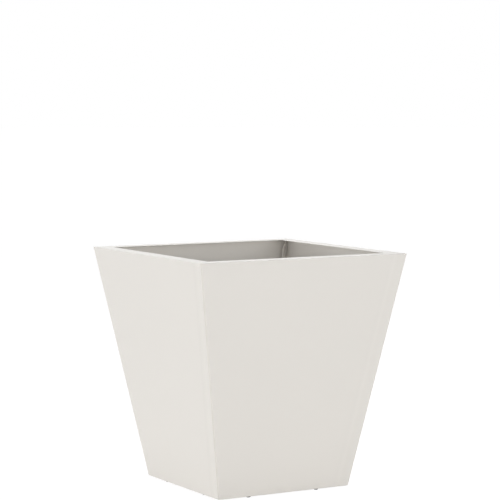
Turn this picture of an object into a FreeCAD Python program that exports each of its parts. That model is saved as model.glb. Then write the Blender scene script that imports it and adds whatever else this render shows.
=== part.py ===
"""Flared square floor planter of folded sheet steel, bolted together from flat-pack panels.

The frame has its origin on the floor under the middle of the planter, +Z up, and the front
panel faces -Y. The planter stands on the heads of the eight screws that hold its base plate.
"""
import FreeCAD, Part
import math
import os

import Sketcher

Vector = FreeCAD.Vector
Rotation = FreeCAD.Rotation
Placement = FreeCAD.Placement
Constraint = Sketcher.Constraint

# Driving dimensions in millimetres, except the shares, which are parts of the size they follow
SIZES = {
    # Outer form
    "top_side": 400,
    "base_side": 257,
    "shell_height": 404,
    # Folded sheet
    "sheet_thickness": 0.8,
    "inner_bend": 0.4,
    "rim_width": 27,
    "foot_width": 20,
    "corner_depth": 16,
    "relief_slot": 3,
    "relief_setback": 2.5,
    "mitre_gap": 0.3,
    # Base plate
    "base_thickness": 1,
    "base_clearance": 0.5,
    "base_corner_clip": 9,
    "drain_bore": 12,
    "drain_offset": 62,
    # Places of the fasteners
    "foot_hole_inset": 8,
    "foot_hole_share": 0.26,
    "corner_hole_inset": 13.5,
    "upper_screw_share": 0.88,
    "middle_screw_share": 0.5,
    "lower_screw_share": 0.12,
    # Pan-head screw and its nut
    "shank_width": 4,
    "screw_length": 8,
    "hole_clearance": 0.5,
    "head_width": 8,
    "head_height": 2.6,
    "head_bevel": 1,
    "recess_span": 4.2,
    "recess_width": 1.1,
    "recess_depth": 1.4,
    "nut_width": 7,
    "nut_height": 3.2,
    "thread_clearance": 0.1,
    # Overrun of every cut beyond the metal
    "overrun": 2,
}

doc = FreeCAD.newDocument("planter")
sizes = doc.addObject("Spreadsheet::Sheet", "sizes")
for row, (alias, value) in enumerate(SIZES.items(), start=1):
    sizes.set(f"A{row}", alias)
    sizes.set(f"B{row}", str(value))
    sizes.setAlias(f"B{row}", alias)
doc.recompute()

# Formulas of driving dimensions: a name of the sheet stands alone between spaces
FLARE = "( ( top_side - base_side ) / 2 / shell_height )"
OUTER_BEND = "( inner_bend + sheet_thickness )"
SHEET_INSET = f"( sheet_thickness * sqrt ( 1 + {FLARE} * {FLARE} ) )"
RIM_LEVEL = "( head_height + shell_height )"
RADIAL = "sqrt ( 2 )"


def cell(formula):
    """Return a formula with each driving dimension in it written as its cell in the sheet."""
    words = [f"{sizes.Name}.{word}" if word in SIZES else word for word in formula.split()]
    return " ".join(words).replace("sqrt (", "sqrt(")


def number(formula):
    """Return the value of a formula of driving dimensions."""
    return float(sizes.evalExpression(cell(formula)))


def bind(target, path, formula):
    """Bind a property of an object to a formula of driving dimensions."""
    target.setExpression(path, cell(formula))


def half_side(rise):
    """Return the formula of the outer half side at a rise above the foot of the panels."""
    return f"( base_side / 2 + {FLARE} * {rise} )"


def level(rise):
    """Return the formula of the height above the floor at a rise above the foot."""
    return f"( head_height + {rise} )"


def origin_plane(body, role):
    """Return the plane of a body's origin that has the given role."""
    for feature in body.Origin.OriginFeatures:
        if feature.Role == role:
            return feature
    raise ValueError(role)


def add_body(label):
    """Start a body under a label of its own."""
    body = doc.addObject("PartDesign::Body", label)
    body.Label = label
    return body


def add_sketch(body, name, role, height=None):
    """Attach a sketch to an origin plane of its body, raised to a height where one is given."""
    sketch = body.newObject("Sketcher::SketchObject", f"{body.Name}_{name}")
    sketch.AttachmentSupport = [(origin_plane(body, role), "")]
    sketch.MapMode = "FlatFace"
    if height is not None:
        bind(sketch, "AttachmentOffset.Base.z", height)
    return sketch


def drive(sketch, name, formula, *constraint):
    """Add a named dimension to a sketch and bind it to a formula."""
    index = sketch.addConstraint(Constraint(*constraint, number(formula)))
    sketch.renameConstraint(index, name)
    bind(sketch, f"Constraints.{name}", formula)


def add_feature(body, kind, name):
    """Add a solid feature to a body."""
    return body.newObject(f"PartDesign::{kind}", f"{body.Name}_{name}")


def draw_outline(sketch, name, points):
    """Draw a closed outline of straight lines whose corners are pairs of formulas."""
    places = [Vector(number(across), number(up), 0) for across, up in points]
    first = sketch.GeometryCount
    count = len(places)
    for step, place in enumerate(places):
        sketch.addGeometry(Part.LineSegment(place, places[(step + 1) % count]), False)
    for step, (across, up) in enumerate(points):
        line = first + step
        sketch.addConstraint(Constraint("Coincident", line, 2, first + (step + 1) % count, 1))
        drive(sketch, f"{name}_across_{step}", across, "DistanceX", -1, 1, line, 1)
        drive(sketch, f"{name}_up_{step}", up, "DistanceY", -1, 1, line, 1)


def draw_circle(sketch, name, across, up, width):
    """Draw a circle of a given width about a point given as formulas."""
    centre = Vector(number(across), number(up), 0)
    circle = sketch.addGeometry(Part.Circle(centre, Vector(0, 0, 1), number(width) / 2), False)
    drive(sketch, f"{name}_across", across, "DistanceX", -1, 1, circle, 3)
    drive(sketch, f"{name}_up", up, "DistanceY", -1, 1, circle, 3)
    drive(sketch, f"{name}_width", width, "Diameter", circle)


def draw_side_profile(sketch, low_rise, high_rise, inset, bend):
    """Draw a panel's side view from the planter's axis out to its sloping face.

    The two horizontal edges run into the face through bends of one radius. The face lies at
    an inset from the outer plane.
    """
    slope = math.atan(number(FLARE))
    radius = number(bend)
    low = number(level(low_rise))
    high = number(level(high_rise))
    foot = Vector(-number(f"{half_side(low_rise)} - {inset}"), low, 0)
    top = Vector(-number(f"{half_side(high_rise)} - {inset}"), high, 0)
    half_turn = math.pi
    wide = math.tan((half_turn / 2 - slope) / 2) * radius
    tight = math.tan((half_turn / 2 + slope) / 2) * radius
    low_centre = Vector(foot.x + wide, low + radius, 0)
    high_centre = Vector(top.x + tight, high - radius, 0)
    outward = Vector(-math.cos(slope), -math.sin(slope), 0) * radius
    face_angle = half_turn + slope
    up_axis = Vector(0, 0, 1)
    low_arc = Part.Circle(low_centre, up_axis, radius)
    high_arc = Part.Circle(high_centre, up_axis, radius)
    sketch.addGeometry(Part.LineSegment(Vector(0, low, 0), Vector(low_centre.x, low, 0)), False)
    sketch.addGeometry(Part.ArcOfCircle(low_arc, face_angle, half_turn * 3 / 2), False)
    sketch.addGeometry(Part.LineSegment(low_centre + outward, high_centre + outward), False)
    sketch.addGeometry(Part.ArcOfCircle(high_arc, half_turn / 2, face_angle), False)
    sketch.addGeometry(Part.LineSegment(Vector(high_centre.x, high, 0), Vector(0, high, 0)), False)
    sketch.addGeometry(Part.LineSegment(Vector(0, high, 0), Vector(0, low, 0)), False)
    sketch.addGeometry(Part.Point(foot), True)
    sketch.addGeometry(Part.Point(top), True)
    sketch.addConstraint([
        Constraint("Tangent", 0, 2, 1, 2),
        Constraint("Tangent", 1, 1, 2, 1),
        Constraint("Tangent", 2, 2, 3, 2),
        Constraint("Tangent", 3, 1, 4, 1),
        Constraint("Coincident", 4, 2, 5, 1),
        Constraint("Coincident", 5, 2, 0, 1),
        Constraint("Horizontal", 0),
        Constraint("Horizontal", 4),
        Constraint("PointOnObject", 4, 2, -2),
        Constraint("PointOnObject", 0, 1, -2),
        Constraint("Equal", 1, 3),
        Constraint("PointOnObject", 6, 1, 2),
        Constraint("PointOnObject", 7, 1, 2),
    ])
    drive(sketch, "bend", bend, "Radius", 1)
    drive(sketch, "low", level(low_rise), "DistanceY", -1, 1, 0, 1)
    drive(sketch, "high", level(high_rise), "DistanceY", -1, 1, 4, 2)
    drive(sketch, "foot_up", level(low_rise), "DistanceY", -1, 1, 6, 1)
    drive(sketch, "foot_out", f"{half_side(low_rise)} - {inset}", "DistanceX", 6, 1, -1, 1)
    drive(sketch, "top_up", level(high_rise), "DistanceY", -1, 1, 7, 1)
    drive(sketch, "top_out", f"{half_side(high_rise)} - {inset}", "DistanceX", 7, 1, -1, 1)


def name_folds(feature):
    """Name the two edges of a wrap along which its corner flanges are folded."""
    rising = []
    for index, edge in enumerate(feature.Shape.Edges, start=1):
        if edge.BoundBox.ZLength > number("shell_height"):
            rising.append((edge.CenterOfMass.y, f"Edge{index}"))
    return [name for _, name in sorted(rising)[:2]]


def add_wrap(label, inset, wall, bend, depth):
    """Make the solid behind a panel's face and between its corner flanges, past top and foot.

    The face lies at an inset from the outer plane, each flange at a wall's distance from the
    vertical plane through the planter's corners, and both run into each other by a bend.
    """
    body = add_body(label)
    low = "( 0 - overrun )"
    high = "( shell_height + overrun )"
    side = add_sketch(body, "side", "YZ_Plane")
    draw_outline(side, "side", [
        (f"{inset} - {half_side(low)}", level(low)),
        (f"{depth} - {half_side(low)}", level(low)),
        (f"{depth} - {half_side(high)}", level(high)),
        (f"{inset} - {half_side(high)}", level(high)),
    ])
    band = add_feature(body, "Pad", "band")
    band.Profile = side
    band.SideType = "Symmetric"
    bind(band, "Length", "top_side + 2 * overrun")
    near = "( base_side / 8 )"
    far = "( top_side / 2 + 2 * overrun )"
    offset = f"( {wall} * {RADIAL} )"
    plan = add_sketch(body, "plan", "XY_Plane", level(low))
    for name, end in (("left", -1), ("right", 1)):
        draw_outline(plan, name, [
            (f"( {end} ) * {near}", f"0 - {near} - {offset}"),
            (f"( {end} ) * {far}", f"0 - {far} - {offset}"),
            (f"( {end} ) * {far}", f"0 - {near} - {offset}"),
        ])
    ends = add_feature(body, "Pocket", "ends")
    ends.Profile = plan
    ends.Reversed = True
    bind(ends, "Length", "shell_height + 2 * overrun")
    doc.recompute()
    folds = add_feature(body, "Fillet", "folds")
    folds.Base = (ends, name_folds(ends))
    bind(folds, "Radius", bend)
    return body


def add_side_pad(label, draw, *measures):
    """Make a solid of one side view, as wide as the whole planter and a little more."""
    body = add_body(label)
    sketch = add_sketch(body, "side", "YZ_Plane")
    draw(sketch, *measures)
    pad = add_feature(body, "Pad", "pad")
    pad.Profile = sketch
    pad.SideType = "Symmetric"
    bind(pad, "Length", "top_side + 2 * overrun")
    return body


def draw_flange_relief(sketch):
    """Draw what is cut behind the face: the slots beside both folds and the corner flanges' rest."""
    low = "sheet_thickness"
    high = "( shell_height - sheet_thickness )"
    slot_low = "( sheet_thickness + relief_slot )"
    slot_high = "( shell_height - sheet_thickness - relief_slot )"
    drop = "( corner_depth - relief_setback )"
    flange_low = f"( {slot_low} + {drop} )"
    flange_high = f"( {slot_high} - {drop} )"
    stations = [
        (low, "relief_setback"),
        (slot_low, "relief_setback"),
        (flange_low, "corner_depth"),
        (flange_high, "corner_depth"),
        (slot_high, "relief_setback"),
        (high, "relief_setback"),
    ]
    outline = [(f"{depth} - {half_side(rise)}", level(rise)) for rise, depth in stations]
    draw_outline(sketch, "relief", outline + [("0", level(high)), ("0", level(low))])


def draw_foot_trim(sketch):
    """Draw what is cut off the foot flange to leave its own width."""
    edge = "foot_width - base_side / 2"
    low = level("( 0 - overrun )")
    high = level("( sheet_thickness + relief_slot )")
    draw_outline(sketch, "foot", [(edge, low), ("0", low), ("0", high), (edge, high)])


def join(kind, label, first, second):
    """Join two solids by a boolean of the given kind."""
    result = doc.addObject(f"Part::{kind}", label)
    result.Base = first
    result.Tool = second
    return result


def add_bore(label, places, turn):
    """Make a clearance hole's cylinder, centred on a point and lying along a turned axis."""
    bore = doc.addObject("Part::Cylinder", label)
    depth = "( sheet_thickness + overrun )"
    bind(bore, "Radius", "( shank_width + hole_clearance ) / 2")
    bind(bore, "Height", f"2 * {depth}")
    bore.Placement = Placement(Vector(0, 0, 0), turn)
    along = turn.multVec(Vector(0, 0, 1))
    for axis, formula, share in zip("xyz", places, along):
        bind(bore, f"Placement.Base.{axis}", f"{formula} - ( {share:.9f} ) * {depth}")
    return bore


def add_mitre(label, side, rise, start):
    """Make the thin block that opens the mitre of two flanges over one corner.

    The block lies along the corner's diagonal, from just outside the corner at a rise above
    the foot, and stands from a start height.
    """
    block = doc.addObject("Part::Box", label)
    bind(block, "Length", f"2 * {RADIAL} * rim_width")
    bind(block, "Width", "mitre_gap")
    bind(block, "Height", "sheet_thickness + relief_slot")
    inwards = Rotation(Vector(0, 0, 1), 90 + side * 45)
    block.Placement = Placement(Vector(0, 0, 0), inwards)
    reach = f"( {half_side(rise)} + overrun )"
    shift = f"mitre_gap / 2 / {RADIAL}"
    bind(block, "Placement.Base.x", f"( {side} ) * {reach} + {shift}")
    bind(block, "Placement.Base.y", f"( {side} ) * {shift} - {reach}")
    bind(block, "Placement.Base.z", start)
    return block


CORNER_SHARES = {
    "upper": "upper_screw_share",
    "middle": "middle_screw_share",
    "lower": "lower_screw_share",
}


def corner_reach(share):
    """Return the formula of a corner screw's distance from the planter's axis."""
    rise = f"shell_height * {share}"
    return f"( {half_side(rise)} * {RADIAL} - corner_hole_inset )"


def corner_level(share):
    """Return the formula of a corner screw's height above the floor."""
    return level(f"shell_height * {share}")


FOOT_HOLE_REACH = "( base_side / 2 - foot_hole_inset )"
FOOT_HOLE_STEP = "( base_side * foot_hole_share )"


def add_panel(label, turn):
    """Fold one panel: sloping face, mitred rim and foot flanges, and two drilled corner flanges."""
    outer_wrap = add_wrap(f"{label}_outer_wrap", "0", "0", OUTER_BEND, "rim_width")
    inner_wrap = add_wrap(f"{label}_inner_wrap", SHEET_INSET, "sheet_thickness", "inner_bend",
                          "( rim_width + overrun )")
    outer_side = add_side_pad(f"{label}_outer_side", draw_side_profile,
                              "0", "shell_height", "0", OUTER_BEND)
    inner_side = add_side_pad(f"{label}_inner_side", draw_side_profile, "sheet_thickness",
                              "( shell_height - sheet_thickness )", SHEET_INSET, "inner_bend")
    outer = join("Common", f"{label}_outer", outer_wrap, outer_side)
    inner = join("Common", f"{label}_inner", inner_wrap, inner_side)
    folded = join("Cut", f"{label}_folded", outer, inner)
    cuts = [
        add_side_pad(f"{label}_relief", draw_flange_relief),
        add_side_pad(f"{label}_foot_trim", draw_foot_trim),
    ]
    for name, side in (("left", -1), ("right", 1)):
        cuts.append(add_mitre(f"{label}_rim_mitre_{name}", side, "shell_height",
                              f"{RIM_LEVEL} - sheet_thickness - relief_slot / 2"))
        cuts.append(add_mitre(f"{label}_foot_mitre_{name}", side, "0",
                              "head_height - relief_slot / 2"))
        step = f"( {side} ) * {FOOT_HOLE_STEP}"
        cuts.append(add_bore(f"{label}_foot_hole_{name}",
                             (step, f"0 - {FOOT_HOLE_REACH}", "head_height"), Rotation()))
        sideways = Rotation(-90 + side * 45, 0, -90)
        for place, share in CORNER_SHARES.items():
            reach = f"{corner_reach(share)} / {RADIAL}"
            cuts.append(add_bore(f"{label}_{place}_hole_{name}",
                                 (f"( {side} ) * {reach}", f"0 - {reach}", corner_level(share)),
                                 sideways))
    cutters = doc.addObject("Part::MultiFuse", f"{label}_cutters")
    cutters.Shapes = cuts
    panel = join("Cut", label, folded, cutters)
    panel.Placement = Placement(Vector(0, 0, 0), Rotation(Vector(0, 0, 1), turn))
    return panel


def add_base_plate(label):
    """Cut the loose bottom: a clipped square with screw holes and five drain holes."""
    body = add_body(label)
    half = "( base_side / 2 - sheet_thickness - base_clearance )"
    short = f"( {half} - base_corner_clip )"
    outline = []
    for across, up in ((1, 1), (-1, 1), (-1, -1), (1, -1)):
        pair = [(f"( {across} ) * {half}", f"( {up} ) * {short}"),
                (f"( {across} ) * {short}", f"( {up} ) * {half}")]
        outline += pair if across == up else pair[::-1]
    plan = add_sketch(body, "plan", "XY_Plane", level("sheet_thickness"))
    draw_outline(plan, "edge", outline)
    pad = add_feature(body, "Pad", "pad")
    pad.Profile = plan
    bind(pad, "Length", "base_thickness")
    holes = add_sketch(body, "holes", "XY_Plane", level("sheet_thickness"))
    width = "( shank_width + hole_clearance )"
    for name, side in (("left", -1), ("right", 1)):
        draw_circle(holes, name, f"( {side} ) * {FOOT_HOLE_STEP}", f"0 - {FOOT_HOLE_REACH}", width)
    draw_circle(holes, "drain", "0", "0 - drain_offset", "drain_bore")
    quarter = add_feature(body, "Pocket", "quarter")
    quarter.Profile = holes
    quarter.Reversed = True
    bind(quarter, "Length", "base_thickness")
    around = add_feature(body, "PolarPattern", "around")
    around.Originals = [quarter]
    around.Axis = (origin_plane(body, "Z_Axis"), [""])
    around.Angle = 360
    around.Occurrences = 4
    body.Tip = around
    middle = add_sketch(body, "middle", "XY_Plane", level("sheet_thickness"))
    draw_circle(middle, "drain", "0", "0", "drain_bore")
    centre = add_feature(body, "Pocket", "centre")
    centre.Profile = middle
    centre.Reversed = True
    bind(centre, "Length", "base_thickness")
    return body


def add_screw(label):
    """Turn a pan-head screw: its head hangs under z = 0 and its shank stands on it."""
    body = add_body(label)
    half_head = "head_width / 2"
    half_shank = "shank_width / 2"
    profile = add_sketch(body, "profile", "XZ_Plane")
    draw_outline(profile, "side", [
        ("0", "0 - head_height"),
        (f"{half_head} - head_bevel", "0 - head_height"),
        (half_head, "head_bevel - head_height"),
        (half_head, "0"),
        (half_shank, "0"),
        (half_shank, "screw_length"),
        ("0", "screw_length"),
    ])
    turned = add_feature(body, "Revolution", "turned")
    turned.Profile = profile
    turned.ReferenceAxis = (profile, ["V_Axis"])
    turned.Angle = 360
    cross = add_sketch(body, "cross", "XY_Plane", "0 - head_height")
    long = "recess_span / 2"
    short = "recess_width / 2"
    arms = []
    for across, up in ((1, 1), (-1, 1), (-1, -1), (1, -1)):
        arm = [(f"( {across} ) * {long}", f"( {up} ) * {short}"),
               (f"( {across} ) * {short}", f"( {up} ) * {short}"),
               (f"( {across} ) * {short}", f"( {up} ) * {long}")]
        arms += arm if across == up else arm[::-1]
    draw_outline(cross, "arm", arms)
    recess = add_feature(body, "Pocket", "recess")
    recess.Profile = cross
    recess.Reversed = True
    bind(recess, "Length", "recess_depth")
    return body


def add_nut(label):
    """Cut a hexagon nut that stands on z = 0."""
    body = add_body(label)
    across_corners = "( nut_width / sqrt ( 3 ) )"
    outline = [(across_corners, "0"), (f"{across_corners} / 2", "nut_width / 2"),
               (f"0 - {across_corners} / 2", "nut_width / 2"), (f"0 - {across_corners}", "0"),
               (f"0 - {across_corners} / 2", "0 - nut_width / 2"),
               (f"{across_corners} / 2", "0 - nut_width / 2")]
    plan = add_sketch(body, "plan", "XY_Plane")
    draw_outline(plan, "side", outline)
    pad = add_feature(body, "Pad", "pad")
    pad.Profile = plan
    bind(pad, "Length", "nut_height")
    thread = add_sketch(body, "thread", "XY_Plane")
    draw_circle(thread, "thread", "0", "0", "( shank_width + thread_clearance )")
    bore = add_feature(body, "Pocket", "bore")
    bore.Profile = thread
    bore.Reversed = True
    bind(bore, "Length", "nut_height")
    return body


def place(target, turn, *places):
    """Turn a fastener and bind its place to three formulas."""
    target.Placement = Placement(Vector(0, 0, 0), turn)
    for axis, formula in zip("xyz", places):
        bind(target, f"Placement.Base.{axis}", formula)


PANELS = {"front": 0, "right": 90, "back": 180, "left": 270}
CORNERS = {"front_left": 225, "front_right": 315, "back_right": 45, "back_left": 135}

# Each side's unit vector outwards, and its base screws' names with their step along the side
SIDES = {
    "front": ((0, -1), {"left": -1, "right": 1}),
    "right": ((1, 0), {"front": -1, "back": 1}),
    "back": ((0, 1), {"right": -1, "left": 1}),
    "left": ((-1, 0), {"back": -1, "front": 1}),
}

nodes = [add_panel(f"{side}_panel", turn) for side, turn in PANELS.items()]
nodes.append(add_base_plate("base_plate"))

for side, ((out_x, out_y), ends) in SIDES.items():
    for end, step in ends.items():
        along = f"( {step} ) * {FOOT_HOLE_STEP}"
        across = f"( {out_x} ) * {FOOT_HOLE_REACH} - ( {out_y} ) * {along}"
        up = f"( {out_y} ) * {FOOT_HOLE_REACH} + ( {out_x} ) * {along}"
        screw = add_screw(f"base_screw_{side}_{end}")
        place(screw, Rotation(), across, up, "head_height")
        nut = add_nut(f"base_nut_{side}_{end}")
        place(nut, Rotation(), across, up, level("sheet_thickness + base_thickness"))
        nodes += [screw, nut]

for corner, bearing in CORNERS.items():
    out_x = round(math.sqrt(2) * math.cos(math.radians(bearing)))
    out_y = round(math.sqrt(2) * math.sin(math.radians(bearing)))
    turn = Rotation(bearing, 0, -90)
    for place_name, share in CORNER_SHARES.items():
        reach = f"{corner_reach(share)} / {RADIAL}"
        clamp = f"sheet_thickness / {RADIAL}"
        across = f"( {out_x} ) * {reach}"
        up = f"( {out_y} ) * {reach}"
        screw = add_screw(f"corner_screw_{corner}_{place_name}")
        place(screw, turn, f"{across} + ( {out_y} ) * {clamp}", f"{up} - ( {out_x} ) * {clamp}",
              corner_level(share))
        nut = add_nut(f"corner_nut_{corner}_{place_name}")
        place(nut, turn, f"{across} - ( {out_y} ) * {clamp}", f"{up} + ( {out_x} ) * {clamp}",
              corner_level(share))
        nodes += [screw, nut]

doc.recompute()

for item in doc.Objects:
    if "Invalid" in item.State or "Error" in item.State:
        raise RuntimeError(f"{item.Label} failed: {item.State}")
for node in nodes:
    if node.Shape.isNull() or not node.Shape.isValid() or len(node.Shape.Solids) != 1:
        raise RuntimeError(f"{node.Label} is not one valid solid")

os.makedirs("parts", exist_ok=True)
for node in nodes:
    node.Shape.exportStep(f"parts/{node.Label}.step")
    print(f"{node.Label}: {node.Shape.Volume:.1f} mm3")
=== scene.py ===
"""Looks of the flared sheet steel planter: its powder coat, its fasteners, and the studio.

All places are metres in the planter's own frame: origin on the floor under its middle, +Z up,
front panel facing -Y. The folded panels and the base plate are shown as they are built. The
screws and nuts are shown by finer meshes that sit in the same places.
"""
import logging
import math
from dataclasses import dataclass, field
from enum import Enum
from typing import Any

import bmesh
import bpy
from mathutils import Matrix, Vector


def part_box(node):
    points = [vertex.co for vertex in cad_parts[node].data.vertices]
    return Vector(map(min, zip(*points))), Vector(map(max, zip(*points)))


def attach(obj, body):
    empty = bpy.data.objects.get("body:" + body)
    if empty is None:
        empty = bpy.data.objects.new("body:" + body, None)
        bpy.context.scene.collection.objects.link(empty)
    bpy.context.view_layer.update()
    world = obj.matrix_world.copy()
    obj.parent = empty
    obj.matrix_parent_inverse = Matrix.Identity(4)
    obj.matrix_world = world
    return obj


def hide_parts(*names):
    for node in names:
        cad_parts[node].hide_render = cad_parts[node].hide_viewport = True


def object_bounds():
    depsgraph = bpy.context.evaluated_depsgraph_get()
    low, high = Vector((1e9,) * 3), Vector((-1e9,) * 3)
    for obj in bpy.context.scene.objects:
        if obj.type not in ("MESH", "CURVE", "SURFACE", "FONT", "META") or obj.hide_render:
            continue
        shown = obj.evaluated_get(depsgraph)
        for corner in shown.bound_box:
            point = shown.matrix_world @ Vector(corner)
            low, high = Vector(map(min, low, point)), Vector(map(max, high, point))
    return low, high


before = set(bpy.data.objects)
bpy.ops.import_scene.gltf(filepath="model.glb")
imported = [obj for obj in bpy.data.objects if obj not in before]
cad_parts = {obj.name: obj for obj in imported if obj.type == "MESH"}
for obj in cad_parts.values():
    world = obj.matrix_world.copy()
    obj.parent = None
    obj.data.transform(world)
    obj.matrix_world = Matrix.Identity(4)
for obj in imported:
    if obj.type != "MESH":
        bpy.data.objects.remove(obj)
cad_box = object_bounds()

LOG = logging.getLogger("planter")
ROOT_BODY = "root"
FULL_TURN = 2 * math.pi
QUARTER_TURN = math.pi / 2
NOISE_MEAN = 0.5
WHITE = (1.0, 1.0, 1.0, 1.0)
MERGE_DISTANCE = 1e-6

Colour = tuple[float, float, float]
Profile = list[tuple[float, float]]


class Side(Enum):
    """A side of the planter, with the way to its right-hand end as seen from outside."""

    FRONT = (1.0, 0.0, 0.0)
    RIGHT = (0.0, 1.0, 0.0)
    BACK = (-1.0, 0.0, 0.0)
    LEFT = (0.0, -1.0, 0.0)

    @property
    def node(self) -> str:
        """Name of the side's panel."""
        return f"{self.name.lower()}_panel"


class Corner(Enum):
    """A corner of the planter, with the bearing of its outward diagonal in degrees."""

    FRONT_LEFT = 225
    FRONT_RIGHT = 315
    BACK_RIGHT = 45
    BACK_LEFT = 135

    @property
    def across(self) -> Vector:
        """Unit vector along the corner's screws, from head to tip."""
        bearing = math.radians(self.value)
        return Vector((-math.sin(bearing), math.cos(bearing), 0.0))


class Slot(Enum):
    """A material slot of the record."""

    COAT = "powder_coat"
    STEEL = "plated_steel"


class Graph:
    """The node tree of one material or world, with short ways to add and join its nodes."""

    def __init__(self, tree: bpy.types.NodeTree) -> None:
        """Start from an empty tree.

        Args:
            tree: The node tree to fill.
        """
        self.tree = tree
        self.tree.nodes.clear()

    def add(self, kind: str, **settings: Any) -> bpy.types.Node:
        """Add a node.

        Args:
            kind: The node's type without its ShaderNode prefix.
            settings: Properties of the node by name.

        Returns:
            The new node.
        """
        node = self.tree.nodes.new(f"ShaderNode{kind}")
        for name, value in settings.items():
            setattr(node, name, value)
        return node

    def feed(self, node: bpy.types.Node, **values: Any) -> bpy.types.Node:
        """Set or link a node's inputs, whose names are written with underscores for spaces.

        Args:
            node: The node whose inputs are fed.
            values: A socket to link or a value to set, by input name.

        Returns:
            The same node.
        """
        for name, value in values.items():
            socket = node.inputs[name.replace("_", " ")]
            if isinstance(value, bpy.types.NodeSocket):
                self.tree.links.new(value, socket)
            else:
                socket.default_value = value
        return node

    def maths(self, operation: str, *values: Any) -> bpy.types.NodeSocket:
        """Add a maths node.

        Args:
            operation: The operation's name.
            values: A socket to link or a number to set for each input.

        Returns:
            The node's result.
        """
        node = self.add("Math", operation=operation)
        for socket, value in zip(node.inputs, values):
            if isinstance(value, bpy.types.NodeSocket):
                self.tree.links.new(value, socket)
            else:
                socket.default_value = value
        return node.outputs[0]

    def noise(self, place: bpy.types.NodeSocket, feature: float,
              detail: float = 2.0) -> bpy.types.NodeSocket:
        """Add a noise texture.

        Args:
            place: The coordinates that it reads.
            feature: The size of its features in metres.
            detail: How many finer layers it has.

        Returns:
            Its value, from 0 to 1.
        """
        node = self.add("TexNoise")
        self.feed(node, Vector=place, Scale=1 / feature, Detail=detail)
        return node.outputs["Fac"]

    def band(self, along: bpy.types.NodeSocket, centre: float,
             width: float) -> bpy.types.NodeSocket:
        """Add a smooth band across a coordinate.

        Args:
            along: The coordinate that the band lies across.
            centre: Where the band is strongest.
            width: The distance from its middle to where it ends.

        Returns:
            The band's strength, 1 in its middle and 0 outside it.
        """
        offset = self.maths("ABSOLUTE", self.maths("SUBTRACT", along, centre))
        node = self.add("MapRange", interpolation_type="SMOOTHSTEP")
        self.feed(node, Value=offset, From_Min=0.0, From_Max=width, To_Min=1.0, To_Max=0.0)
        return node.outputs["Result"]

    def shown(self) -> bpy.types.NodeSocket:
        """Add the nodes that tell rays that show the background from those that light the object.

        Returns:
            1 for rays from the camera, reflections and transmission, otherwise 0.
        """
        path = self.add("LightPath")
        mirrored = self.maths("MAXIMUM", path.outputs["Is Glossy Ray"],
                              path.outputs["Is Transmission Ray"])
        return self.maths("MAXIMUM", path.outputs["Is Camera Ray"], mirrored)


def new_material(name: str) -> tuple[bpy.types.Material, Graph]:
    """Make a material with an empty node tree.

    Args:
        name: The material's name.

    Returns:
        The material and its graph.
    """
    material = bpy.data.materials.new(name)
    material.use_nodes = True
    return material, Graph(material.node_tree)


@dataclass(frozen=True)
class FoldRidgeAndPaintedShade:
    """The faint strip beside a panel's right-hand end: a shallow ridge that folding leaves where
    depth is not zero, with painted shade on its dark side and a painted highlight on its light
    side.

    Attributes:
        dark_place: Distance from the end to the mark's dark side.
        light_place: Distance from the end to its light side.
        width: Half width of either side.
        depth: Depth of the dark side, and height of the light one.
        painted_shade_tone: How much painted shade darkens the colour on the dark side, and
            painted_highlight_tone the painted highlight that the light side adds.
    """

    dark_place: float
    light_place: float
    width: float
    depth: float
    painted_shade_tone: float
    painted_highlight_tone: float

    def press(self, graph: Graph, inset: bpy.types.NodeSocket, tone: bpy.types.NodeSocket,
              height: bpy.types.NodeSocket) -> tuple[bpy.types.NodeSocket, bpy.types.NodeSocket]:
        """Add the nodes that press the ridge into a coat's height and paint shade and a highlight
        into its tone.

        Args:
            graph: The coat's graph.
            inset: The distance to the panel's end.
            tone: The coat's tone without the mark.
            height: Its height without the mark.

        Returns:
            Tone with the painted shade and highlight, and height with the ridge.
        """
        dark = graph.band(inset, self.dark_place, self.width)
        light = graph.band(inset, self.light_place, self.width)
        # Painted shade on the ridge's dark side and a painted highlight on its light side.
        with_painted_shade = graph.maths("MULTIPLY_ADD", dark, -self.painted_shade_tone, tone)
        ridge = graph.maths("SUBTRACT", light, dark)
        return (graph.maths("MULTIPLY_ADD", light, self.painted_highlight_tone, with_painted_shade),
                graph.maths("MULTIPLY_ADD", ridge, self.depth, height))


@dataclass(frozen=True)
class Flare:
    """How a panel's half side grows with height.

    Attributes:
        foot_half: Half side at the foot.
        foot_level: The foot's height.
        growth: Growth of the half side for each unit of height.
    """

    foot_half: float
    foot_level: float
    growth: float

    def end_distance(self, graph: Graph, place: bpy.types.NodeSocket,
                     along: Vector) -> bpy.types.NodeSocket:
        """Add the nodes that measure how far a point lies from a panel's right-hand end.

        Args:
            graph: The material's graph.
            place: The coordinates.
            along: Unit vector to the end.

        Returns:
            The level distance to the end.
        """
        reach = graph.add("VectorMath", operation="DOT_PRODUCT")
        graph.tree.links.new(place, reach.inputs[0])
        reach.inputs[1].default_value = along
        split = graph.feed(graph.add("SeparateXYZ"), Vector=place)
        rise = graph.maths("SUBTRACT", split.outputs["Z"], self.foot_level)
        half_side = graph.maths("MULTIPLY_ADD", rise, self.growth, self.foot_half)
        return graph.maths("SUBTRACT", half_side, reach.outputs["Value"])


@dataclass(frozen=True)
class PanelEnd:
    """A panel's right-hand end and the fold mark beside it, a ridge with painted shade and a
    painted highlight.

    Attributes:
        along: Unit vector to the end.
        flare: The panel's flare.
        mark: The fold mark, with its painted shade and highlight.
    """

    along: Vector
    flare: Flare
    mark: FoldRidgeAndPaintedShade


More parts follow.
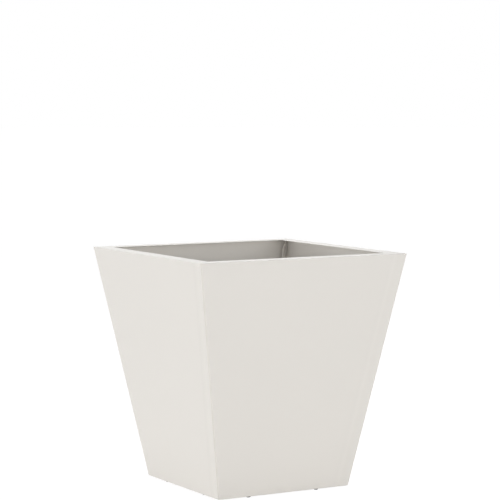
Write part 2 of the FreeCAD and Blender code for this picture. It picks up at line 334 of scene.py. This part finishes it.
@dataclass(frozen=True)
class PowderCoat:
    """Warm white satin powder coat on folded sheet.

    Attributes:
        colour: Linear colour of the coat.
        roughness: Mean roughness, and roughness_range its spread.
        patch_size: Feature size of its duller and shinier patches.
        peel_size: Feature size of the fine orange peel, and peel_height its height.
        wave_size: Feature size of the sheet's own waviness, and wave_height its height.
        wave_detail: How many finer layers the waviness has.
        tone_range: How much the colour varies over the sheet.
    """

    colour: Colour = (0.79, 0.765, 0.725)
    roughness: float = 0.42
    roughness_range: float = 0.06
    patch_size: float = 0.0096
    peel_size: float = 0.0016
    peel_height: float = 0.000004
    wave_size: float = 0.16
    wave_height: float = 0.00012
    wave_detail: float = 1.0
    tone_range: float = 0.008

    def material(self, name: str, end: PanelEnd | None = None) -> bpy.types.Material:
        """Make the coat's material.

        Args:
            name: The material's name.
            end: The panel's right-hand end, or None for a piece that has no fold mark and so no
                painted shade or highlight.

        Returns:
            The material.
        """
        material, graph = new_material(name)
        place = graph.add("TexCoord").outputs["Object"]
        peel = graph.maths("MULTIPLY", graph.noise(place, self.peel_size), self.peel_height)
        waves = graph.noise(place, self.wave_size, self.wave_detail)
        height = graph.maths("ADD", peel, graph.maths("MULTIPLY", waves, self.wave_height))
        drift = graph.maths("SUBTRACT", graph.noise(place, self.wave_size), NOISE_MEAN)
        tone = graph.maths("MULTIPLY_ADD", drift, self.tone_range, 1.0)
        if end is not None:
            inset = end.flare.end_distance(graph, place, end.along)
            # Painted shade and a painted highlight beside the panel's end, over the ridge's bump.
            tone, height = end.mark.press(graph, inset, tone, height)
        shade = graph.add("VectorMath", operation="SCALE")
        shade.inputs[0].default_value = self.colour
        graph.feed(shade, Scale=tone)
        patches = graph.maths("SUBTRACT", graph.noise(place, self.patch_size), NOISE_MEAN)
        rough = graph.maths("MULTIPLY_ADD", patches, self.roughness_range, self.roughness)
        bump = graph.feed(graph.add("Bump"), Height=height, Distance=1.0, Strength=1.0)
        shader = graph.add("BsdfPrincipled")
        graph.feed(shader, Base_Color=shade.outputs["Vector"], Roughness=rough,
                   Normal=bump.outputs["Normal"])
        graph.feed(graph.add("OutputMaterial"), Surface=shader.outputs["BSDF"])
        return material


@dataclass(frozen=True)
class ZincPlate:
    """Dull black zinc plating of the screws and nuts.

    Attributes:
        colour: Linear colour of the plated metal.
        roughness: Mean roughness, and roughness_range its spread.
        tone_range: How much the colour varies over the plating.
        cloud_size: Feature size of its duller clouds.
        grain_size: Feature size of its fine grain, and grain_height its height.
    """

    colour: Colour = (0.04, 0.04, 0.042)
    roughness: float = 0.38
    roughness_range: float = 0.2
    tone_range: float = 0.2
    cloud_size: float = 0.003
    grain_size: float = 0.0004
    grain_height: float = 0.000004

    def material(self, name: str) -> bpy.types.Material:
        """Make the plating's material.

        Args:
            name: The material's name.

        Returns:
            The material.
        """
        material, graph = new_material(name)
        place = graph.add("TexCoord").outputs["Object"]
        clouds = graph.noise(place, self.cloud_size)
        drift = graph.maths("SUBTRACT", clouds, NOISE_MEAN)
        rough = graph.maths("MULTIPLY_ADD", drift, self.roughness_range, self.roughness)
        tone = graph.maths("MULTIPLY_ADD", drift, self.tone_range, 1.0)
        shade = graph.add("VectorMath", operation="SCALE")
        shade.inputs[0].default_value = self.colour
        graph.feed(shade, Scale=tone)
        grain = graph.maths("MULTIPLY", graph.noise(place, self.grain_size), self.grain_height)
        bump = graph.feed(graph.add("Bump"), Height=grain, Distance=1.0, Strength=1.0)
        shader = graph.add("BsdfPrincipled")
        graph.feed(shader, Base_Color=shade.outputs["Vector"], Roughness=rough, Metallic=1.0,
                   Normal=bump.outputs["Normal"])
        graph.feed(graph.add("OutputMaterial"), Surface=shader.outputs["BSDF"])
        return material


def wear(piece: bpy.types.Object, material: bpy.types.Material) -> None:
    """Put one material on all of a piece's slots.

    Args:
        piece: The piece.
        material: Its material.
    """
    if not piece.material_slots:
        piece.data.materials.append(material)
    for holder in piece.material_slots:
        holder.material = material


@dataclass
class FoldedShell:
    """The four folded panels and the base plate, shown as they are built.

    Attributes:
        coat: The finish of all five.
        base_inset: Distance from the base plate's edge out to the panels' outer planes at the foot.
        ridge_and_painted_shading: The fold mark of the left and right panels: a shallow ridge with
            painted shade and a painted highlight.
        painted_shading_only: The fold mark of the front and back panels: no ridge, only painted
            shade and a painted highlight, toned apart from the sides' because the light falls on
            these panels differently.
    """

    coat: PowderCoat = field(default_factory=PowderCoat)
    base_inset: float = 0.0013
    ridge_and_painted_shading: FoldRidgeAndPaintedShade = FoldRidgeAndPaintedShade(dark_place=0.024, light_place=0.01, width=0.007,
                                    depth=0.00006, painted_shade_tone=0.016, painted_highlight_tone=0.012)
    painted_shading_only: FoldRidgeAndPaintedShade = FoldRidgeAndPaintedShade(dark_place=0.031, light_place=0.0235, width=0.006,
                                    depth=0.0, painted_shade_tone=0.005, painted_highlight_tone=0.014)

    def flare(self) -> Flare:
        """Measure the panels' flare on the frame.

        Returns:
            The flare, which all four panels share.
        """
        low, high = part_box(Side.FRONT.node)
        foot_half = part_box("base_plate")[1].x + self.base_inset
        rim_half = -low.y
        return Flare(foot_half, low.z, (rim_half - foot_half) / (high.z - low.z))

    def dress(self) -> list[bpy.types.Object]:
        """Coat the panels and the base plate.

        Returns:
            The coated pieces.
        """
        pieces = []
        flare = self.flare()
        for side in Side:
            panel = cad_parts[side.node]
            # The front and back panels get their own painted shade and highlight, as the light
            # falls on them differently from the sides.
            mark = self.painted_shading_only if side in (Side.FRONT, Side.BACK) else self.ridge_and_painted_shading
            end = PanelEnd(Vector(side.value), flare, mark)
            wear(panel, self.coat.material(f"coat_{side.name.lower()}", end))
            pieces.append(panel)
        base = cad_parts["base_plate"]
        wear(base, self.coat.material("coat_base"))
        pieces.append(base)
        return pieces


@dataclass(frozen=True)
class Seat:
    """Where a fastener sits.

    Attributes:
        start: The point where its axis starts.
        axis: Unit vector along it.
        length: Its length along the axis.
    """

    start: Vector
    axis: Vector
    length: float

    @classmethod
    def measure(cls, node: str, axis: Vector) -> "Seat":
        """Measure a fastener's seat on its node.

        Args:
            node: The fastener's node.
            axis: Unit vector along it.

        Returns:
            The seat, which starts at the fastener's low end along the axis.
        """
        helper = Vector((1.0, 0.0, 0.0)) if axis.z else Vector((0.0, 0.0, 1.0))
        beside = axis.cross(helper).normalized()
        upward = axis.cross(beside)
        places = [vertex.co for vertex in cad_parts[node].data.vertices]
        spans = []
        for way in (axis, beside, upward):
            reaches = [place.dot(way) for place in places]
            spans.append((min(reaches), max(reaches)))
        middle = [(low + high) / 2 for low, high in spans]
        start = axis * spans[0][0] + beside * middle[1] + upward * middle[2]
        return cls(start, axis, spans[0][1] - spans[0][0])

    def matrix(self) -> Matrix:
        """Matrix that puts a mesh built along +Z from its origin into the seat."""
        turn = self.axis.to_track_quat("Z", "Y").to_matrix().to_4x4()
        return Matrix.Translation(self.start) @ turn


def lathe(bm: bmesh.types.BMesh, profile: Profile, segments: int) -> None:
    """Spin a profile about Z into a closed solid.

    Args:
        bm: The mesh that is built.
        profile: Radius and height of each point, starting and ending on the axis.
        segments: How many steps a full turn has.
    """
    points = [bm.verts.new((radius, 0.0, height)) for radius, height in profile]
    edges = [bm.edges.new(pair) for pair in zip(points, points[1:])]
    bmesh.ops.spin(bm, geom=points + edges, cent=(0, 0, 0), axis=(0, 0, 1), angle=FULL_TURN,
                   steps=segments, use_merge=True)
    bmesh.ops.remove_doubles(bm, verts=bm.verts, dist=MERGE_DISTANCE)
    bmesh.ops.recalc_face_normals(bm, faces=bm.faces)


def prism(bm: bmesh.types.BMesh, outline: Profile, low: float, high: float,
          high_scale: float = 1.0) -> None:
    """Extrude an outline upwards into a closed solid.

    Args:
        bm: The mesh that is built.
        outline: The outline's corners.
        low: The height of its lower end.
        high: The height of its upper end.
        high_scale: How much the upper end is scaled about the axis.
    """
    corners = [bm.verts.new((x, y, low)) for x, y in outline]
    foot = bm.faces.new(corners)
    grown = bmesh.ops.extrude_face_region(bm, geom=[foot], use_keep_orig=True)["geom"]
    top = [item for item in grown if isinstance(item, bmesh.types.BMVert)]
    bmesh.ops.translate(bm, vec=(0, 0, high - low), verts=top)
    bmesh.ops.scale(bm, vec=(high_scale, high_scale, 1.0), verts=top)
    bmesh.ops.recalc_face_normals(bm, faces=bm.faces)


def to_object(bm: bmesh.types.BMesh, name: str) -> bpy.types.Object:
    """Turn a built mesh into an object of the scene.

    Args:
        bm: The mesh, which is freed.
        name: The object's name.

    Returns:
        The object.
    """
    mesh = bpy.data.meshes.new(name)
    bm.to_mesh(mesh)
    bm.free()
    piece = bpy.data.objects.new(name, mesh)
    bpy.context.scene.collection.objects.link(piece)
    return piece


def carve(body: bpy.types.Object, tool: bpy.types.Object, operation: str) -> None:
    """Apply an exact boolean to a body and remove the tool.

    Args:
        body: The object that is changed.
        tool: The object that changes it.
        operation: DIFFERENCE or INTERSECT.
    """
    cut = body.modifiers.new("cut", "BOOLEAN")
    cut.object = tool
    cut.operation = operation
    cut.solver = "EXACT"
    result = body.evaluated_get(bpy.context.evaluated_depsgraph_get())
    shaped = bpy.data.meshes.new_from_object(result)
    body.modifiers.remove(cut)
    old = body.data
    body.data = shaped
    bpy.data.meshes.remove(old)
    bpy.data.objects.remove(tool)


@dataclass(frozen=True)
class MachineThread:
    """A metric thread, as the ridges that its flanks make.

    Attributes:
        radius: Outer radius of the thread.
        pitch: Distance between its crests.
        depth: Depth of its grooves.
        segments: Steps round the axis.
    """

    radius: float = 0.002
    pitch: float = 0.0007
    depth: float = 0.00038
    segments: int = 32

    def profile(self, low: float, high: float) -> Profile:
        """List the points of the thread's flanks.

        Args:
            low: The height where the thread starts.
            high: The height where it ends.

        Returns:
            Radius and height of each crest and root, from low to high.
        """
        turns = int((high - low) / self.pitch)
        points = []
        for turn in range(turns):
            start = low + turn * self.pitch
            points.append((self.radius - self.depth, start))
            points.append((self.radius, start + self.pitch / 2))
        points.append((self.radius - self.depth, low + turns * self.pitch))
        return points


@dataclass(frozen=True)
class PanScrew:
    """A pan-head screw with a crowned head, a cross recess and a thread.

    Attributes:
        head_radius: Radius of the head, and head_height its height.
        crown_radius: Radius of the rounding at the head's rim, and crown_steps its steps.
        crown_rise: How far the middle of the head stands above the rounding.
        recess_half: Half span of the cross recess, and recess_width the width of its slots.
        recess_depth: Depth of the recess, and recess_taper the scale of its floor.
        tip_bevel: Bevel at the tip.
        thread: The screw's thread.
    """

    head_radius: float = 0.004
    head_height: float = 0.0026
    crown_radius: float = 0.0013
    crown_steps: int = 6
    crown_rise: float = 0.0002
    recess_half: float = 0.0021
    recess_width: float = 0.0011
    recess_depth: float = 0.0014
    recess_taper: float = 0.55
    tip_bevel: float = 0.0005
    thread: MachineThread = field(default_factory=MachineThread)

    def profile(self, length: float) -> Profile:
        """List the screw's half section.

        Args:
            length: The screw's length over its head.

        Returns:
            Radius and height of each point, from the head's top to the tip.
        """
        points = [(0.0, 0.0)]
        centre_radius = self.head_radius - self.crown_radius
        for step in range(self.crown_steps + 1):
            turn = QUARTER_TURN * step / self.crown_steps
            points.append((centre_radius + self.crown_radius * math.sin(turn),
                           self.crown_rise + self.crown_radius * (1 - math.cos(turn))))
        points.append((self.head_radius, self.head_height))
        points += self.thread.profile(self.head_height, length - self.tip_bevel)
        points.append((self.thread.radius - self.tip_bevel, length))
        points.append((0.0, length))
        return points

    def build(self, length: float) -> bpy.types.Object:
        """Build one screw with the top of its head at z = 0 and its tip upwards.

        Args:
            length: The screw's length over its head.

        Returns:
            The screw.
        """
        bm = bmesh.new()
        lathe(bm, self.profile(length), self.thread.segments)
        screw = to_object(bm, "screw_pattern")
        slot_half = self.recess_width / 2
        overrun = self.recess_depth / 2
        for x, y in ((self.recess_half, slot_half), (slot_half, self.recess_half)):
            bm = bmesh.new()
            prism(bm, [(x, y), (-x, y), (-x, -y), (x, -y)], -overrun, self.recess_depth,
                  self.recess_taper)
            carve(screw, to_object(bm, "recess_tool"), "DIFFERENCE")
        return screw


@dataclass(frozen=True)
class HexNut:
    """A hexagon nut with bevelled corners and a bore that clears the screw.

    Attributes:
        sides: How many flats it has.
        width: Size across its flats.
        bevel_slope: Rise of its bevel for each unit outwards.
        bore_radius: Radius of its bore.
        mouth_bevel: Bevel at the bore's two mouths.
        segments: Steps round the axis.
    """

    sides: int = 6
    width: float = 0.007
    bevel_slope: float = 0.58
    bore_radius: float = 0.00205
    mouth_bevel: float = 0.0003
    segments: int = 48

    def build(self, height: float) -> bpy.types.Object:
        """Build one nut that stands on z = 0.

        Args:
            height: The nut's height.

        Returns:
            The nut.
        """
        flat_reach = self.width / 2
        corner_reach = flat_reach / math.cos(FULL_TURN / 2 / self.sides)
        turns = [FULL_TURN * side / self.sides for side in range(self.sides)]
        outline = [(corner_reach * math.cos(turn), corner_reach * math.sin(turn))
                   for turn in turns]
        bm = bmesh.new()
        prism(bm, outline, 0.0, height)
        nut = to_object(bm, "nut_pattern")
        bm = bmesh.new()
        lathe(bm, self.bevel_profile(flat_reach, height), self.segments)
        carve(nut, to_object(bm, "bevel_tool"), "INTERSECT")
        bm = bmesh.new()
        lathe(bm, self.bore_profile(height), self.segments)
        carve(nut, to_object(bm, "bore_tool"), "DIFFERENCE")
        return nut

    def bevel_profile(self, flat_reach: float, height: float) -> Profile:
        """List the points of the double cone that bevels the corners.

        Args:
            flat_reach: Radius at which both bevels start.
            height: The nut's height.

        Returns:
            Radius and height of each point.
        """
        middle = height / 2
        return [(0.0, 0.0), (flat_reach, 0.0), (flat_reach + middle / self.bevel_slope, middle),
                (flat_reach, height), (0.0, height)]

    def bore_profile(self, height: float) -> Profile:
        """List the points of the bore and its bevelled mouths.

        Args:
            height: The nut's height.

        Returns:
            Radius and height of each point.
        """
        bevel, bore = self.mouth_bevel, self.bore_radius
        mouth = bore + bevel
        return [(0.0, -bevel), (mouth, -bevel), (mouth, 0.0), (bore, bevel), (bore, height - bevel),
                (mouth, height), (mouth, height + bevel), (0.0, height + bevel)]


@dataclass
class Fasteners:
    """The base screws under the planter and the corner screws inside it, with their nuts.

    Attributes:
        screw: The screw's pattern.
        nut: The nut's pattern.
        plate: Their finish.
        places: The names of the three corner screws' levels.
    """

    screw: PanScrew = field(default_factory=PanScrew)
    nut: HexNut = field(default_factory=HexNut)
    plate: ZincPlate = field(default_factory=ZincPlate)
    places: tuple[str, ...] = ("upper", "middle", "lower")

    def axes(self) -> dict[str, Vector]:
        """Give the axis of every screw's node.

        Returns:
            Unit vectors from head to tip, by the node's name with a gap for screw or nut.
        """
        ends = [node.removeprefix("base_screw_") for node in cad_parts
                if node.startswith("base_screw_")]
        axes = {f"base_{{}}_{end}": Vector((0.0, 0.0, 1.0)) for end in ends}
        for corner in Corner:
            for place in self.places:
                axes[f"corner_{{}}_{corner.name.lower()}_{place}"] = corner.across
        return axes

    def dress(self) -> list[bpy.types.Object]:
        """Build every screw and nut in its seat.

        Returns:
            The new pieces.
        """
        finish = self.plate.material("plated_steel")
        pieces = []
        patterns: dict[str, bpy.types.Object] = {}
        for form, axis in self.axes().items():
            for kind, pattern in (("screw", self.screw), ("nut", self.nut)):
                node = form.format(kind)
                seat = Seat.measure(node, axis)
                if kind not in patterns:
                    patterns[kind] = pattern.build(seat.length)
                    wear(patterns[kind], finish)
                pieces.append(self.seat_piece(patterns[kind], node, seat))
        for shape in patterns.values():
            bpy.data.objects.remove(shape)
        return pieces

    def seat_piece(self, pattern: bpy.types.Object, node: str, seat: Seat) -> bpy.types.Object:
        """Copy a pattern into a seat in place of its node.

        Args:
            pattern: The pattern.
            node: The node that the copy stands for.
            seat: Where it sits.

        Returns:
            The copy.
        """
        mesh = pattern.data.copy()
        mesh.transform(seat.matrix())
        piece = bpy.data.objects.new(f"{node}_finished", mesh)
        bpy.context.scene.collection.objects.link(piece)
        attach(piece, ROOT_BODY)
        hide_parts(node)
        return piece


@dataclass(frozen=True)
class SoftLight:
    """A soft rectangular light that faces the planter.

    Attributes:
        name: The light's name.
        place: Where it hangs.
        size: Its width and height.
        power: Its power in watts.
        spread: How wide its grid lets the light out, in degrees.
    """

    name: str
    place: tuple[float, float, float]
    size: tuple[float, float]
    power: float
    spread: float = 180.0

    def hang(self, target: Vector) -> None:
        """Hang the light.

        Args:
            target: The point that it faces.
        """
        lamp = bpy.data.lights.new(self.name, "AREA")
        lamp.shape = "RECTANGLE"
        lamp.size, lamp.size_y = self.size
        lamp.energy = self.power
        lamp.spread = math.radians(self.spread)
        holder = bpy.data.objects.new(self.name, lamp)
        holder.location = self.place
        holder.rotation_euler = (Vector(self.place) - target).to_track_quat("Z", "Y").to_euler()
        holder.visible_camera = False
        bpy.context.scene.collection.objects.link(holder)


@dataclass
class Studio:
    """White floor and background, soft lights, and the camera.

    Attributes:
        ambient: Strength of the light from all round.
        floor_radius: Radius of the floor.
        floor_segments: Sides of its outline.
        floor_colour: Its colour, faintly warm.
        shadow_share: How much of its light and shadow the floor shows to the camera.
        floor_glow: Strength of the rest, so that the unshaded floor is white.
        lights: The soft lights.
        azimuth: Camera's turn about the planter from straight in front, in degrees.
        elevation: Camera's angle above the horizon, in degrees.
        distance: Distance from the camera to the point that it looks at.
        sideways: How far that point lies to the camera's right of the planter's axis.
        lens: Focal length in millimetres for the sensor width.
        sensor: Sensor width in millimetres.
    """

    ambient: float = 0.4
    floor_radius: float = 30.0
    floor_segments: int = 96
    floor_colour: Colour = (0.96, 0.95, 0.935)
    shadow_share: float = 0.15
    floor_glow: float = 1.115
    lights: tuple[SoftLight, ...] = (
        SoftLight("left_light", (-3.3, -0.2, 0.6), (2.0, 0.5), 38.2),
        SoftLight("front_light", (0.05, -2.2, 0.64), (1.6, 0.36), 15.1),
        SoftLight("back_light", (0.9, 2.4, 1.05), (1.8, 1.2), 5.2),
        SoftLight("rear_light", (-1.0, 3.0, 0.7), (2.0, 0.5), 10.0),
        SoftLight("right_light", (3.0, 0.6, 0.9), (1.8, 1.2), 24.0),
        SoftLight("top_light", (0.0, 0.0, 2.6), (0.6, 0.6), 0.55, 30.0),
    )
    azimuth: float = -29.915
    elevation: float = 4.573
    distance: float = 3.5754
    sideways: float = 0.0052
    lens: float = 148.38
    sensor: float = 36.0

    def set_up(self) -> None:
        """Build the floor, the background, the lights and the camera."""
        low, high = cad_box
        middle = (low + high) / 2
        self.lay_floor()
        self.paint_background()
        for light in self.lights:
            light.hang(middle)
        self.aim_camera(high.z)

    def lay_floor(self) -> None:
        """Lay the floor, white to the camera but for a faint shadow."""
        bm = bmesh.new()
        bmesh.ops.create_circle(bm, cap_ends=True, segments=self.floor_segments,
                                radius=self.floor_radius)
        floor = to_object(bm, "floor")
        material, graph = new_material("floor_white")
        shader = graph.add("BsdfDiffuse")
        graph.feed(shader, Color=(*self.floor_colour, 1.0))
        glow = graph.feed(graph.add("Emission"), Color=WHITE, Strength=self.floor_glow)
        mix = graph.add("MixShader")
        graph.feed(mix, Fac=graph.maths("MULTIPLY", graph.shown(), 1.0 - self.shadow_share))
        graph.tree.links.new(shader.outputs["BSDF"], mix.inputs[1])
        graph.tree.links.new(glow.outputs["Emission"], mix.inputs[2])
        graph.feed(graph.add("OutputMaterial"), Surface=mix.outputs["Shader"])
        floor.data.materials.append(material)

    def paint_background(self) -> None:
        """Make the background white to look at and soft as a light."""
        world = bpy.data.worlds.new("studio")
        bpy.context.scene.world = world
        world.use_nodes = True
        graph = Graph(world.node_tree)
        strength = graph.maths("MULTIPLY_ADD", graph.shown(), 1.0 - self.ambient, self.ambient)
        shader = graph.feed(graph.add("Background"), Color=WHITE, Strength=strength)
        graph.feed(graph.add("OutputWorld"), Surface=shader.outputs["Background"])

    def aim_camera(self, rim_level: float) -> None:
        """Place the camera at the photograph's angle.

        Args:
            rim_level: The height of the rim, which the camera looks at.
        """
        turn, tilt = math.radians(self.azimuth), math.radians(self.elevation)
        right = Vector((math.cos(turn), math.sin(turn), 0.0))
        back = Vector((right.y * math.cos(tilt), -right.x * math.cos(tilt), math.sin(tilt)))
        aim = right * self.sideways + Vector((0.0, 0.0, rim_level))
        lens = bpy.data.cameras.new("camera")
        lens.sensor_width = self.sensor
        lens.lens = self.lens
        camera = bpy.data.objects.new("camera", lens)
        camera.location = aim + back * self.distance
        camera.rotation_euler = back.to_track_quat("Z", "Y").to_euler()
        bpy.context.scene.collection.objects.link(camera)
        bpy.context.scene.camera = camera


def main() -> None:
    """Build the looks in order and report each piece."""
    logging.basicConfig(level=logging.INFO, format="%(name)s: %(message)s")
    bpy.context.scene.view_settings.view_transform = "Standard"
    Studio().set_up()
    for assembly in (FoldedShell(), Fasteners()):
        for piece in assembly.dress():
            LOG.info("%s: %d faces", piece.name, len(piece.data.polygons))


if __name__ == "__main__":
    main()
